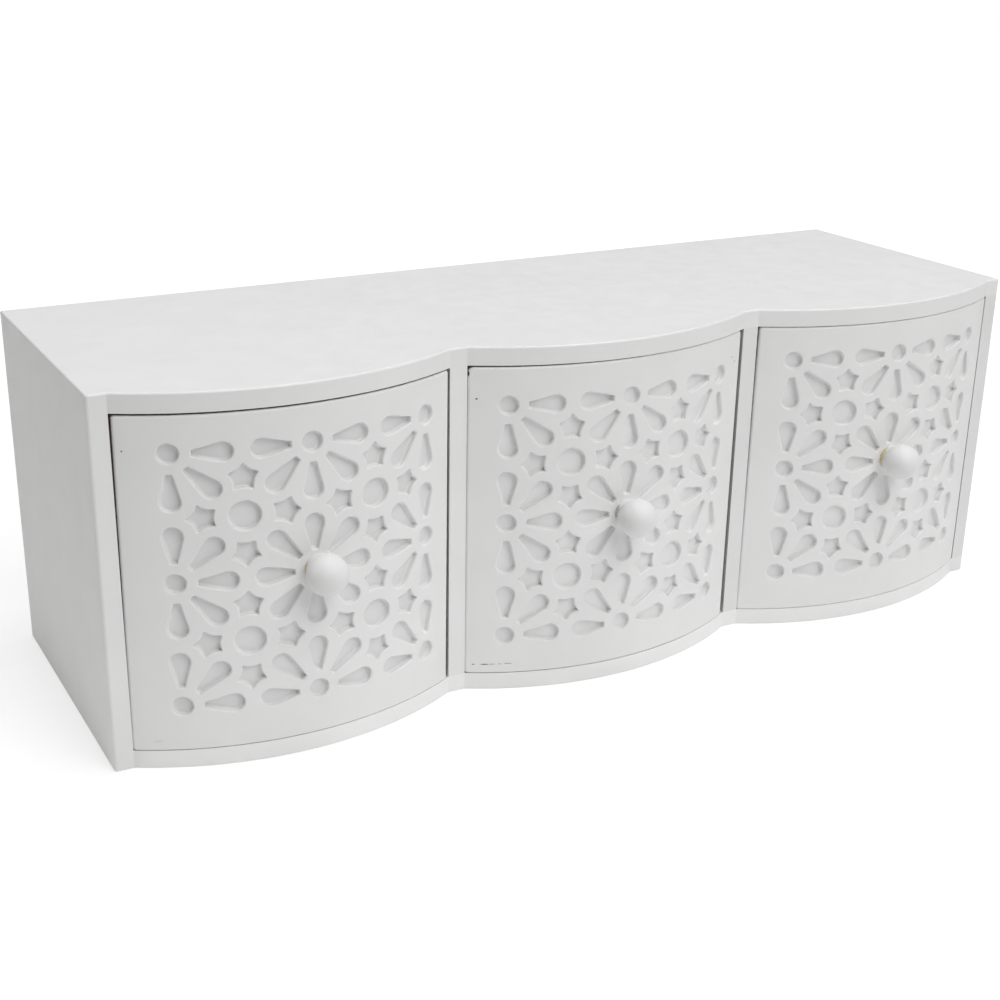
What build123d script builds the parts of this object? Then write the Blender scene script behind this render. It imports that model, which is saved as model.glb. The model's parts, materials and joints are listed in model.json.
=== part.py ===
from build123d import *
import math
import os

# Tabletop organizer: a low case of painted boards with three bow-fronted drawers side by side.
# Millimetres. +X runs to the right, +Y to the back and +Z up.
# The origin is the middle of the case's base, halfway between the flat front lands and the back.

# Case boards
CASE_WIDTH = 400.0
CASE_HEIGHT = 138.0
CASE_DEPTH = 123.5  # from the flat front lands to the back
BOARD = 7.0
BOW_RISE = 16.5  # how far each bow stands out in front of the lands
CORNER_ROUND = 1.2  # upright corners of the case
EDGE_ROUND = 0.8  # outer edges of the top and of the base
NOOK_ROUND = 1.5  # inner corner where a bow meets a land
BACK_PANEL = 3.0
BACK_LAP = 4.0  # how far the back panel laps onto the boards around it

# Drawers
DRAWER_NAMES = ("left", "middle", "right")
DRAWER_BOARD = 5.0  # sides and back
DRAWER_BOTTOM = 3.0
BOTTOM_LIFT = 4.0  # underside of the bottom sheet above the drawer's lower edge
GROOVE_DEPTH = 2.5  # how deep the bottom sheet sits in the sides and the back
FRONT_SHEET = 3.0  # bent backing behind the fretwork
FRET_SHEET = 3.0  # bent pierced sheet

# Running gaps between a drawer and its bay
SIDE_GAP = 0.9
TOP_GAP = 0.6
RUNNER_GAP = 0.2
STOP_GAP = 0.3  # a shut drawer's back to the back panel
DRAWER_SEATS = (0.0, -0.6, 0.0)  # how far each drawer stands to the right of its bay's middle

# Fretwork motif, drawn on a square cell and then stretched to fill the front inside its plain border
FRET_BORDER = 15.2  # from the edges of the sheet to the outer row of rosettes
FRET_CELLS = 2  # cells across and up
FRET_CELL = 46.4  # spacing of the rosettes as drawn
DOT_WIDTH = 7.0
RING_WIDTH = 10.6
PETAL_ROOT = 7.3  # from a rosette's middle to a petal's blunt narrow end
PETAL_ROOT_WIDTH = 2.0
PETAL_TIP = 20.5  # from a rosette's middle to a petal's round end
DIAGONAL_TIP = 21.8
PETAL_WIDTH = 6.9
STAR_OUT = 13.6  # from a ring's middle to a star's middle
STAR_RADIUS = 5.4
STAR_POINTS = 5
STAR_HOLLOW = 0.8  # how far a star's sides bend inwards
# Where each drawer's fretwork was glued on, to the right and up from the middle of the front
FRET_SHIFTS = ((1.9, 1.8), (-0.5, 0.8), (-0.7, 1.8))
FRET_TRIM = 6.0  # spare sheet all round before it is trimmed

# Ball knob and its screw
KNOB_BALL = 15.0
KNOB_STANDOFF = 7.6  # from the face of the front to the ball's middle
KNOB_NECK = 10.4
SCREW_SHANK = 3.0
SCREW_HEAD = 6.0
SCREW_HEAD_HEIGHT = 2.0
SCREW_HEAD_ROUND = 0.8
SCREW_SINK = 0.3  # how far the head is pulled into the backing
SCREW_GRIP = 8.0  # how far the shank reaches into the knob
SCREW_TIP = 2.5
CROSS_LENGTH = 3.2
CROSS_WIDTH = 0.8
CROSS_DEPTH = 1.0

# Pin nails
BRAD_WIDTH = 1.2
BRAD_LENGTH = 20.0
BRAD_TIP = 1.5
BRAD_SET = 0.8  # head below the surface, filled and painted over
BRAD_ROWS = 3
BRAD_INSET = 18.0  # first and last rows from the board's ends
PIN_LENGTH = 10.0
PIN_HEAD = 2.4
PIN_HEAD_HEIGHT = 0.6
PINS_ALONG = 6
PINS_UP = 3

# Worked out from the sizes above
BAYS = len(DRAWER_NAMES)
LAND_Y = -CASE_DEPTH / 2
BACK_Y = CASE_DEPTH / 2
BAY_WIDTH = (CASE_WIDTH - (BAYS + 1) * BOARD) / BAYS
BAY_HEIGHT = CASE_HEIGHT - 2 * BOARD
BAY_PITCH = BAY_WIDTH + BOARD
BAY_CENTRES = [(i - (BAYS - 1) / 2) * BAY_PITCH for i in range(BAYS)]
DRAWER_CENTRES = [bay_x + seat for bay_x, seat in zip(BAY_CENTRES, DRAWER_SEATS)]
UPRIGHT_CENTRES = [(i - BAYS / 2) * BAY_PITCH for i in range(BAYS + 1)]
BOW_RADIUS = (BAY_WIDTH**2 / 4 + BOW_RISE**2) / (2 * BOW_RISE)
BOW_AXIS_Y = LAND_Y - BOW_RISE + BOW_RADIUS
UPRIGHT_BACK_Y = BACK_Y - BACK_PANEL

DRAWER_WIDTH = BAY_WIDTH - 2 * SIDE_GAP
DRAWER_Z = BOARD + RUNNER_GAP
DRAWER_HEIGHT = BAY_HEIGHT - RUNNER_GAP - TOP_GAP
DRAWER_MIDDLE_Z = DRAWER_Z + DRAWER_HEIGHT / 2
DRAWER_BACK_Y = UPRIGHT_BACK_Y - STOP_GAP
DRAWER_INNER = DRAWER_WIDTH - 2 * DRAWER_BOARD
BACKING_RADIUS = BOW_RADIUS - FRET_SHEET
INSIDE_RADIUS = BACKING_RADIUS - FRONT_SHEET

FRONT_ARC = 2 * BOW_RADIUS * math.asin(DRAWER_WIDTH / 2 / BOW_RADIUS)
STRETCH_ACROSS = (FRONT_ARC - 2 * FRET_BORDER) / FRET_CELLS / FRET_CELL
STRETCH_UP = (DRAWER_HEIGHT - 2 * FRET_BORDER) / FRET_CELLS / FRET_CELL

CENTRED_BELOW = (Align.CENTER, Align.CENTER, Align.MAX)
CENTRED_ABOVE = (Align.CENTER, Align.CENTER, Align.MIN)


def block(low, high):
    """A square-edged block between two opposite corners."""
    size = [b - a for a, b in zip(low, high)]
    return Pos(*low) * Box(*size, align=(Align.MIN, Align.MIN, Align.MIN))


def bow_y(radius, x):
    """Y of a bow of the given radius, x away from the middle of its bay."""
    return BOW_AXIS_Y - math.sqrt(radius**2 - x**2)


def spread(low, high, count):
    """Evenly spaced values from low to high."""
    return [low + (high - low) * i / (count - 1) for i in range(count)]


# Pin nails, each pointing along -Z of the place it is driven at
def brad():
    """A headless pin nail, from its head at zero down to its point."""
    shank = Cylinder(BRAD_WIDTH / 2, BRAD_LENGTH - BRAD_TIP, align=CENTRED_BELOW)
    tip = Cone(0, BRAD_WIDTH / 2, BRAD_TIP, align=CENTRED_BELOW)
    return shank + Pos(0, 0, BRAD_TIP - BRAD_LENGTH) * tip


def panel_pin():
    """A pin with a flat head, flush at zero."""
    head = Cylinder(PIN_HEAD / 2, PIN_HEAD_HEIGHT, align=CENTRED_BELOW)
    shank = Cylinder(BRAD_WIDTH / 2, PIN_LENGTH - BRAD_TIP, align=CENTRED_BELOW)
    tip = Cone(0, BRAD_WIDTH / 2, BRAD_TIP, align=CENTRED_BELOW)
    return head + shank + Pos(0, 0, BRAD_TIP - PIN_LENGTH) * tip


def driven(nail, point, towards):
    """The nail driven in at a point, towards a direction."""
    return Plane(point, z_dir=-Vector(*towards)) * nail


def case_brads():
    """Brads through the top and the bottom into each upright."""
    brads = []
    for x in UPRIGHT_CENTRES:
        for y in spread(LAND_Y + BRAD_INSET, UPRIGHT_BACK_Y - BRAD_INSET, BRAD_ROWS):
            brads.append(driven(brad(), (x, y, CASE_HEIGHT - BRAD_SET), (0, 0, -1)))
            brads.append(driven(brad(), (x, y, BRAD_SET), (0, 0, 1)))
    return brads


def back_panel_pins():
    """Pins around the back panel's edge and down each divider."""
    side_x = CASE_WIDTH / 2 - BOARD + BACK_LAP / 2
    low_z = BOARD - BACK_LAP / 2
    high_z = CASE_HEIGHT - low_z
    places = [(x, z) for x in spread(-side_x, side_x, PINS_ALONG) for z in (low_z, high_z)]
    heights = spread(low_z + BRAD_INSET, high_z - BRAD_INSET, PINS_UP)
    places += [(x, z) for x in (-side_x, *UPRIGHT_CENTRES[1:-1], side_x) for z in heights]
    return [driven(panel_pin(), (x, BACK_Y, z), (0, -1, 0)) for x, z in places]


# Case
def bowed_panel():
    """A board lying at zero with a bow in front of every bay, its outer corners and upper edges rounded."""
    outline = Rectangle(CASE_WIDTH, CASE_DEPTH)
    for bay_x in BAY_CENTRES:
        left = (bay_x - BAY_WIDTH / 2, LAND_Y)
        right = (bay_x + BAY_WIDTH / 2, LAND_Y)
        bow = ThreePointArc(left, (bay_x, LAND_Y - BOW_RISE), right)
        outline += make_face([bow, Line(right, left)])
    end_x = CASE_WIDTH / 2 - BOARD / 2
    outline = fillet([v for v in outline.vertices() if abs(v.X) < end_x], NOOK_ROUND)
    outline = fillet([v for v in outline.vertices() if abs(v.X) > end_x], CORNER_ROUND)
    panel = extrude(outline, BOARD)
    return fillet(panel.faces().sort_by(Axis.Z)[-1].edges(), EDGE_ROUND)


def back_panel():
    """Thin sheet let into the back of the boards around it."""
    lap = BOARD - BACK_LAP
    low = (lap - CASE_WIDTH / 2, UPRIGHT_BACK_Y, lap)
    high = (CASE_WIDTH / 2 - lap, BACK_Y, CASE_HEIGHT - lap)
    return block(low, high)


def end_panel(side):
    """An end of the case, on the side -1 or 1, with its outer upright corners rounded."""
    x = UPRIGHT_CENTRES[0 if side < 0 else -1]
    low = (x - BOARD / 2, LAND_Y, BOARD)
    high = (x + BOARD / 2, BACK_Y, CASE_HEIGHT - BOARD)
    panel = block(low, high)
    outer = panel.edges().filter_by(Axis.Z).group_by(lambda e: side * e.center().X)[-1]
    return fillet(outer, CORNER_ROUND)


def divider(x):
    """An upright between two bays."""
    low = (x - BOARD / 2, LAND_Y, BOARD)
    high = (x + BOARD / 2, UPRIGHT_BACK_Y, CASE_HEIGHT - BOARD)
    return block(low, high)


def case_nodes():
    """Every piece of the case, by name."""
    brads = case_brads()
    pins = back_panel_pins()
    back = back_panel()
    boards = {
        "top_panel": Pos(0, 0, CASE_HEIGHT - BOARD) * bowed_panel(),
        "bottom_panel": Pos(0, 0, BOARD) * Rot(0, 180, 0) * bowed_panel(),
        "left_end_panel": end_panel(-1),
        "right_end_panel": end_panel(1),
        "left_divider": divider(UPRIGHT_CENTRES[1]),
        "right_divider": divider(UPRIGHT_CENTRES[-2]),
    }
    nodes = {name: board - [back, *brads, *pins] for name, board in boards.items()}
    nodes["back_panel"] = back - pins
    nodes["case_brads"] = Compound(brads)
    nodes["back_panel_pins"] = Compound(pins)
    return nodes


# Fretwork
def on_sheet(point):
    """A point of the drawn motif, where it falls on the unrolled sheet."""
    return Vector(point.X * STRETCH_ACROSS, point.Y * STRETCH_UP)


def round_hole(middle, width):
    """Outline of a dot or a ring."""
    centre = on_sheet(middle)
    return Pos(centre) * Ellipse(width / 2 * STRETCH_ACROSS, width / 2 * STRETCH_UP)


def petal_hole(rosette, heading):
    """Outline of one petal of a rosette: a blunt root that widens to a round end."""
    ahead = heading.normalized()
    aside = Vector(-ahead.Y, ahead.X)
    tip = DIAGONAL_TIP if heading.X and heading.Y else PETAL_TIP
    end_radius = PETAL_WIDTH / 2
    end_middle = tip - end_radius
    root_half = PETAL_ROOT_WIDTH / 2
    to_end = math.hypot(end_middle - PETAL_ROOT, root_half)
    side = math.sqrt(to_end**2 - end_radius**2)
    turn = math.asin(end_radius / to_end) - math.atan2(root_half, end_middle - PETAL_ROOT)
    shoulder = PETAL_ROOT + side * math.cos(turn)
    shoulder_half = root_half + side * math.sin(turn)
    drawn = [
        (PETAL_ROOT, root_half),
        (shoulder, shoulder_half),
        (tip, 0),
        (shoulder, -shoulder_half),
        (PETAL_ROOT, -root_half),
    ]
    a, b, c, d, e = [on_sheet(rosette + ahead * x + aside * y) for x, y in drawn]
    return make_face([Line(e, a), Line(a, b), ThreePointArc(b, c, d), Line(d, e)])


def star_hole(ring, heading):
    """Outline of a star beside a ring, one point facing away from the ring, with hollow sides."""
    middle = ring + heading * STAR_OUT
    turns = [i * 360 / STAR_POINTS for i in range(STAR_POINTS + 1)]
    points = [heading.rotate(Axis.Z, turn) * STAR_RADIUS for turn in turns]
    sides = []
    for start, end in zip(points, points[1:]):
        half_way = (start + end) / 2
        hollow = half_way - half_way.normalized() * STAR_HOLLOW
        sides.append(ThreePointArc(*[on_sheet(middle + p) for p in (start, hollow, end)]))
    return make_face(sides)


def fret_holes():
    """Outlines of every hole on the unrolled sheet, about the pattern's middle."""
    holes = []
    last = FRET_CELLS / 2
    steps = spread(-last, last, FRET_CELLS + 1)
    compass = [Vector(x, y) for x in (-1, 0, 1) for y in (-1, 0, 1) if x or y]
    for i in steps:
        for j in steps:
            rosette = Vector(i, j) * FRET_CELL
            if i or j:
                holes.append(round_hole(rosette, DOT_WIDTH))
            for heading in compass:
                if max(abs(i + heading.X), abs(j + heading.Y)) <= last:
                    holes.append(petal_hole(rosette, heading))
    middles = [step + 0.5 for step in steps[:-1]]
    for i in middles:
        for j in middles:
            ring = Vector(i, j) * FRET_CELL
            holes.append(round_hole(ring, RING_WIDTH))
            holes += [star_hole(ring, heading) for heading in compass if heading.X * heading.Y == 0]
    return holes


def front_plane(drawer_x, across, z):
    """Plane that touches the drawer's face at a place along its arc, facing outwards."""
    angle = across / BOW_RADIUS
    outward = Vector(math.sin(angle), -math.cos(angle), 0)
    along = Vector(math.cos(angle), math.sin(angle), 0)
    origin = Vector(drawer_x, BOW_AXIS_Y, z) + outward * BOW_RADIUS
    return Plane(origin, x_dir=along, z_dir=outward)


def bent_sheet(radius, thickness, margin=0.0):
    """A sheet bent to the bow of a bay at zero, the size of a drawer's front with a margin all round."""
    half = DRAWER_WIDTH / 2 + margin
    inner = radius - thickness
    front = ThreePointArc((-half, bow_y(radius, half)), (0, bow_y(radius, 0)), (half, bow_y(radius, half)))
    back = ThreePointArc((-half, bow_y(inner, half)), (0, bow_y(inner, 0)), (half, bow_y(inner, half)))
    ends = [Line(front @ 0, back @ 0), Line(front @ 1, back @ 1)]
    sheet = extrude(make_face([front, back, *ends]), DRAWER_HEIGHT + 2 * margin)
    return Pos(0, 0, DRAWER_Z - margin) * sheet


def fret_blank():
    """The pierced sheet before it is trimmed, every hole cut square to its face."""
    cutters = []
    for hole in fret_holes():
        centre = hole.center(CenterOf.BOUNDING_BOX)
        place = front_plane(0, centre.X, DRAWER_MIDDLE_Z + centre.Y).offset(-2 * FRET_SHEET)
        cutters.append(extrude(place * (Pos(-centre) * hole), 4 * FRET_SHEET))
    return bent_sheet(BOW_RADIUS, FRET_SHEET, FRET_TRIM) - cutters


def fretwork(blank, drawer_x, across, up):
    """A blank set on one drawer's front, shifted along the bow and up, and trimmed flush with the front."""
    turn = math.degrees(across / BOW_RADIUS)
    placed = Pos(drawer_x, BOW_AXIS_Y, up) * Rot(0, 0, turn) * Pos(0, -BOW_AXIS_Y, 0) * blank
    low = (drawer_x - DRAWER_WIDTH / 2, LAND_Y - 2 * BOW_RISE, DRAWER_Z)
    high = (drawer_x + DRAWER_WIDTH / 2, BACK_Y, DRAWER_Z + DRAWER_HEIGHT)
    return placed & block(low, high)


# Drawer box
def drawer_bottom(drawer_x):
    """Thin sheet with a bowed front edge, held in grooves in the sides and the back."""
    half = DRAWER_INNER / 2 + GROOVE_DEPTH
    back_y = DRAWER_BACK_Y - DRAWER_BOARD + GROOVE_DEPTH
    corner_y = bow_y(INSIDE_RADIUS, half)
    bow = ThreePointArc((-half, corner_y), (0, bow_y(INSIDE_RADIUS, 0)), (half, corner_y))
    rest = Polyline((half, corner_y), (half, back_y), (-half, back_y), (-half, corner_y))
    return Pos(drawer_x, 0, DRAWER_Z + BOTTOM_LIFT) * extrude(make_face([bow, *rest.edges()]), DRAWER_BOTTOM)


def drawer_side(drawer_x, side):
    """A side of the drawer, -1 or 1, with its front end shaped to the bent front."""
    outer = DRAWER_WIDTH / 2
    inner = outer - DRAWER_BOARD
    middle = (outer + inner) / 2
    xs = (inner, middle, outer)
    front = ThreePointArc(*[(side * x, bow_y(INSIDE_RADIUS, x)) for x in xs])
    rest = Polyline(front @ 1, (side * outer, DRAWER_BACK_Y), (side * inner, DRAWER_BACK_Y), front @ 0)
    outline = make_face([front, *rest.edges()])
    return Pos(drawer_x, 0, DRAWER_Z) * extrude(outline, DRAWER_HEIGHT, dir=(0, 0, 1))


def drawer_back(drawer_x):
    """The drawer's back, between its sides."""
    low = (drawer_x - DRAWER_INNER / 2, DRAWER_BACK_Y - DRAWER_BOARD, DRAWER_Z)
    high = (drawer_x + DRAWER_INNER / 2, DRAWER_BACK_Y, DRAWER_Z + DRAWER_HEIGHT)
    return block(low, high)


def drawer_brads(drawer_x):
    """Brads through the front sheet into the sides, and through the sides into the back."""
    brads = []
    outer = DRAWER_WIDTH / 2
    side_middle = outer - DRAWER_BOARD / 2
    front_y = bow_y(BACKING_RADIUS, side_middle) + BRAD_SET
    back_y = DRAWER_BACK_Y - DRAWER_BOARD / 2
    for z in spread(DRAWER_Z + BRAD_INSET, DRAWER_Z + DRAWER_HEIGHT - BRAD_INSET, BRAD_ROWS):
        for side in (-1, 1):
            brads.append(driven(brad(), (drawer_x + side * side_middle, front_y, z), (0, 1, 0)))
            brads.append(driven(brad(), (drawer_x + side * (outer - BRAD_SET), back_y, z), (-side, 0, 0)))
    return brads


# Ball knob, on a plane that touches the drawer's face
def ball_knob(seat, drawer_x):
    """A ball on a short neck whose seat follows the bow."""
    ball = Pos(0, 0, KNOB_STANDOFF) * Sphere(KNOB_BALL / 2)
    neck = Pos(0, 0, -FRET_SHEET) * Cylinder(KNOB_NECK / 2, FRET_SHEET + KNOB_STANDOFF, align=CENTRED_ABOVE)
    face = Pos(drawer_x, BOW_AXIS_Y, seat.origin.Z) * Cylinder(BOW_RADIUS, 2 * KNOB_BALL)
    return seat * (ball + neck) - face


def knob_screw(seat):
    """Round-headed screw from the inside of the front sheet into the knob."""
    head_z = SCREW_SINK - FRONT_SHEET - FRET_SHEET
    length = SCREW_GRIP - head_z
    head = Cylinder(SCREW_HEAD / 2, SCREW_HEAD_HEIGHT, align=CENTRED_BELOW)
    head = fillet(head.edges().sort_by(Axis.Z)[0], SCREW_HEAD_ROUND)
    for turn in (0, 90):
        slot = Box(CROSS_LENGTH, CROSS_WIDTH, 2 * CROSS_DEPTH)
        head -= Pos(0, 0, -SCREW_HEAD_HEIGHT) * Rot(0, 0, turn) * slot
    shank = Cylinder(SCREW_SHANK / 2, length - SCREW_TIP, align=CENTRED_ABOVE)
    tip = Pos(0, 0, length - SCREW_TIP) * Cone(SCREW_SHANK / 2, 0, SCREW_TIP, align=CENTRED_ABOVE)
    return seat * Pos(0, 0, head_z) * (head + shank + tip)


def drawer_nodes(name, drawer_x, blank, shift):
    """Every piece of one drawer, by name."""
    across, up = shift
    seat = front_plane(drawer_x, across, DRAWER_MIDDLE_Z + up)
    screw = knob_screw(seat)
    bottom = drawer_bottom(drawer_x)
    brads = drawer_brads(drawer_x)
    pieces = {
        "fretwork": fretwork(blank, drawer_x, across, up) - screw,
        "front_sheet": Pos(drawer_x, 0, 0) * bent_sheet(BACKING_RADIUS, FRONT_SHEET) - [screw, *brads],
        "left_side": drawer_side(drawer_x, -1) - [bottom, *brads],
        "right_side": drawer_side(drawer_x, 1) - [bottom, *brads],
        "back": drawer_back(drawer_x) - [bottom, *brads],
        "bottom": bottom,
        "knob": ball_knob(seat, drawer_x) - screw,
        "knob_screw": screw,
        "brads": Compound(brads),
    }
    return {f"{name}_drawer_{piece}": solid for piece, solid in pieces.items()}


nodes = case_nodes()
blank = fret_blank()
for name, drawer_x, shift in zip(DRAWER_NAMES, DRAWER_CENTRES, FRET_SHIFTS):
    nodes.update(drawer_nodes(name, drawer_x, blank, shift))

os.makedirs("parts", exist_ok=True)
for name, solid in nodes.items():
    export_step(solid, f"parts/{name}.step")
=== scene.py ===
"""Looks of the three-drawer bow-fronted organizer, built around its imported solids."""

import json
import math
from functools import partial

import bpy
import numpy as np
from mathutils import Matrix, Vector
from mathutils.geometry import delaunay_2d_cdt


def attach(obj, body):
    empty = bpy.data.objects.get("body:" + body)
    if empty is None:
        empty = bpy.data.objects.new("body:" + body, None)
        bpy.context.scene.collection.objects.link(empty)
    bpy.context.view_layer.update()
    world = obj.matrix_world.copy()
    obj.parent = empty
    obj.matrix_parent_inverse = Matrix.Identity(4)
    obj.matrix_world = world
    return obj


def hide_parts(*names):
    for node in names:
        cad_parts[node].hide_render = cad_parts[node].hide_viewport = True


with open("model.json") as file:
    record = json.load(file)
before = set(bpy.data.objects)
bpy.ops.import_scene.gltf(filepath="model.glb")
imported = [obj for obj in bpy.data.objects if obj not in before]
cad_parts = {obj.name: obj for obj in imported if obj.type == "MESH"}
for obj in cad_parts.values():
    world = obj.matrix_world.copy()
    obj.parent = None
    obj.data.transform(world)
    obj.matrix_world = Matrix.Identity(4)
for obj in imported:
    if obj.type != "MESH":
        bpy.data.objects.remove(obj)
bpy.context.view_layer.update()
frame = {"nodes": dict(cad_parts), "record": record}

MM = 0.001

# Sizes of the solids that the new pieces stand for, in millimetres
CASE_WIDTH = 400.0
CASE_DEPTH = 123.5  # from the flat front lands to the back
CASE_HEIGHT = 138.0
BOARD = 7.0
BAYS = 3
BOW_RISE = 16.5  # how far each bow stands out in front of the lands
SIDE_GAP = 0.9  # running gaps between a drawer and its bay
TOP_GAP = 0.6
RUNNER_GAP = 0.2
MIDDLE_SEAT = -0.6  # the middle drawer stands a little to the left in its bay
FRET_SHEET = 2.2  # what the paint leaves of the holes' depth
FRONT_SHEETS = 6.0  # the fretwork and the sheet behind it

# Worked out from these sizes
LAND_Y = -CASE_DEPTH / 2
BAY_WIDTH = (CASE_WIDTH - (BAYS + 1) * BOARD) / BAYS
BAY_PITCH = BAY_WIDTH + BOARD
BOW_RADIUS = (BAY_WIDTH**2 / 4 + BOW_RISE**2) / (2 * BOW_RISE)
BOW_AXIS_Y = LAND_Y - BOW_RISE + BOW_RADIUS
DRAWER_CENTRES = {"left": -BAY_PITCH, "middle": MIDDLE_SEAT, "right": BAY_PITCH}
DRAWER_WIDTH = BAY_WIDTH - 2 * SIDE_GAP
DRAWER_Z = BOARD + RUNNER_GAP
DRAWER_HEIGHT = CASE_HEIGHT - 2 * BOARD - RUNNER_GAP - TOP_GAP
DRAWER_MIDDLE_Z = DRAWER_Z + DRAWER_HEIGHT / 2

# Fretwork motif
FRET_BORDER = 15.2
FRET_CELLS = 2
FRET_CELL = 46.4
DOT_WIDTH = 7.0
RING_WIDTH = 10.6
PETAL_ROOT = 7.3
PETAL_ROOT_WIDTH = 2.0
PETAL_TIP = 20.5
DIAGONAL_TIP = 21.8
PETAL_WIDTH = 6.9
STAR_OUT = 13.6
STAR_RADIUS = 5.4
STAR_POINTS = 5
STAR_HOLLOW = 0.8
FRET_SHIFTS = {"left": (1.9, 1.8), "middle": (-0.5, 0.8), "right": (-0.7, 1.8)}
FRONT_ARC = 2 * BOW_RADIUS * math.asin(DRAWER_WIDTH / 2 / BOW_RADIUS)
STRETCH = np.array([FRONT_ARC, DRAWER_HEIGHT]) - 2 * FRET_BORDER
STRETCH = STRETCH / FRET_CELLS / FRET_CELL

# Softness that the paint gives to cut edges
RIM_ROUND = 0.65  # upper edge of every hole
FOOT_ROUND = 0.55  # paint in the corner at the foot of a hole's wall
FOOT_SHARE = 0.8  # most of the way to a hole's middle line that this paint reaches
HOLE_CORNER = 0.4  # corners of a hole's outline
FRONT_EASES = (0.45, 0.7, 0.95)  # lower edge, side edges and upper edge of the drawer front
BACK_EDGE_ROUND = 0.15  # where two glued sheets meet
SINK = 0.03  # how far a glued piece's back lies inside what carries it

# Where the paint ends and bare board shows; its colour is also painted shade in the gaps
EDGE_STRIP = 5.0  # how far in from a front's outer edges
EDGE_PAINT = (1.0, 1.6)  # how far back on these edges the paint begins and ceases to fade
EDGE_WAVER = 0.8
BAY_PAINT = (6.0, 8.5)  # the same on the boards inside the bays
BAY_WAVER = 4.0
FACE_SLACK = 0.03  # so that a mask takes in the faces that bound it

# How far each front was trimmed by hand, at its lower left, lower right, upper right and
# upper left corner: across and up
FRONT_TRIMS = {
    "left": ((-0.86, 0.05), (-0.45, -0.12), (-0.1, 0.0), (0.0, -0.25)),
    "middle": ((-0.26, 0.1), (-0.55, -0.08), (-0.15, 0.45), (-0.05, -0.05)),
    "right": ((-0.78, -0.08), (0.0, -0.08), (0.2, 0.38), (0.05, 0.25)),
}

# Radii of the same corners, in the same order
FRONT_CORNERS = {
    "left": (1.0, 1.0, 1.0, 1.0),
    "middle": (1.0, 1.2, 1.8, 2.2),
    "right": (1.0, 1.0, 1.2, 1.2),
}

# Ball knob
KNOB_BALL = 15.0
KNOB_STANDOFF = 7.6  # from the face of the front to the ball's middle
KNOB_NECK = 10.4
KNOB_CREASE = 0.35  # paint in the crease between neck and ball
KNOB_SINK = 0.3  # how far the neck's foot lies inside the face
# How far each knob sits off its rosette's middle, across and up
KNOB_SHIFTS = {"left": (0.9, 0.4), "middle": (0.1, 0.0), "right": (0.8, 1.0)}

# How finely the new pieces are cut up: steps in millimetres, then counts of points, then turns
PETAL_SPACING = 1.0
STAR_SPACING = 0.9
EDGE_SPACING = 3.0
FACE_GRID = 5.0  # on the fretwork's face
PLAIN_GRID = 8.0  # on faces with no detail
DOT_POINTS = 28
RING_POINTS = 36
PETAL_END_POINTS = 16
PETAL_SIDE_POINTS = 5
STAR_SIDE_POINTS = 13
FRONT_SIDE_POINTS = 50
KNOB_SPOKES = 56
KNOB_BALL_RINGS = 26
KNOB_CREASE_RINGS = 5
CORNER_TURN = 0.4
FRONT_TURNS = np.radians((0, 22.5, 45, 67.5, 90))
BACK_TURNS = np.radians((0, 45, 90))
RIM_TURNS = np.radians((0, 30, 60, 90))
FOOT_TURNS = np.radians((0, 18, 36, 54, 72, 90))
TINY = 1e-6
UP = np.array([0, 0, 1.0])


# Mesh helpers
def new_piece(shell, side, part, material):
    """A smooth mesh piece from a shell about the drawer's middle, standing for a drawer's part."""
    name, body = f"{side}_{part}_painted", f"{side}_drawer"
    replaced = f"{body}_{part}"
    points = np.concatenate(shell.points) + (DRAWER_CENTRES[side], 0, 0)
    mesh = bpy.data.meshes.new(name)
    mesh.from_pydata((points * MM).tolist(), [], shell.faces)
    mesh.shade_smooth()
    mesh.normals_split_custom_set_from_vertices(np.concatenate(shell.normals).tolist())
    mesh.materials.append(material)
    piece = bpy.data.objects.new(name, mesh)
    bpy.context.scene.collection.objects.link(piece)
    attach(piece, body)
    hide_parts(replaced)


def bent(angle, radius, z):
    """Places on a bow of a bay at zero, turned by an angle from its middle."""
    angle, radius, z = np.broadcast_arrays(angle, radius, z)
    return np.stack([radius * np.sin(angle), BOW_AXIS_Y - radius * np.cos(angle), z], axis=-1)


def facing(angle):
    """Direction straight out of a bow, at an angle from its middle."""
    angle = np.asarray(angle, float)
    return np.stack([np.sin(angle), -np.cos(angle), np.zeros_like(angle)], axis=-1)


def along_bow(angle):
    """Direction to the right along a bow, at an angle from its middle."""
    angle = np.asarray(angle, float)
    return np.stack([np.cos(angle), np.sin(angle), np.zeros_like(angle)], axis=-1)


def unit(vectors):
    """The same directions at length one."""
    return vectors / np.linalg.norm(vectors, axis=-1, keepdims=True)


class Shell:
    """Points, normals and faces of one piece as it is put together."""

    def __init__(self):
        self.points, self.normals, self.faces, self.count = [], [], [], 0

    def add(self, points, normals):
        """Add points and give their numbers."""
        self.points.append(points)
        self.normals.append(unit(normals))
        first = self.count
        self.count += len(points)
        return np.arange(first, self.count)

    def strip(self, a, b):
        """Close the band between two rings of points with as many each."""
        a_next, b_next = np.roll(a, -1), np.roll(b, -1)
        self.faces += np.stack([a, a_next, b_next, b], axis=1).tolist()


# Outlines of the holes, anticlockwise on the unrolled sheet
def arc_points(middle, radius, start, end, count):
    """Points on an arc of the drawn motif."""
    turn = np.linspace(start, end, count)
    return np.asarray(middle) + radius * np.stack([np.cos(turn), np.sin(turn)], axis=1)


def run_lengths(points):
    """Distance along a run of points, from its start."""
    steps = np.linalg.norm(np.diff(points, axis=0), axis=1)
    return np.concatenate([[0.0], np.cumsum(steps)])


def resample(points, start, end, spacing):
    """A run sampled again between two distances from its start."""
    lengths = run_lengths(points)
    count = max(2, int(math.ceil((end - start) / spacing)) + 1)
    places = np.linspace(start, end, count)
    return np.stack([np.interp(places, lengths, points[:, k]) for k in (0, 1)], axis=1)


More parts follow.
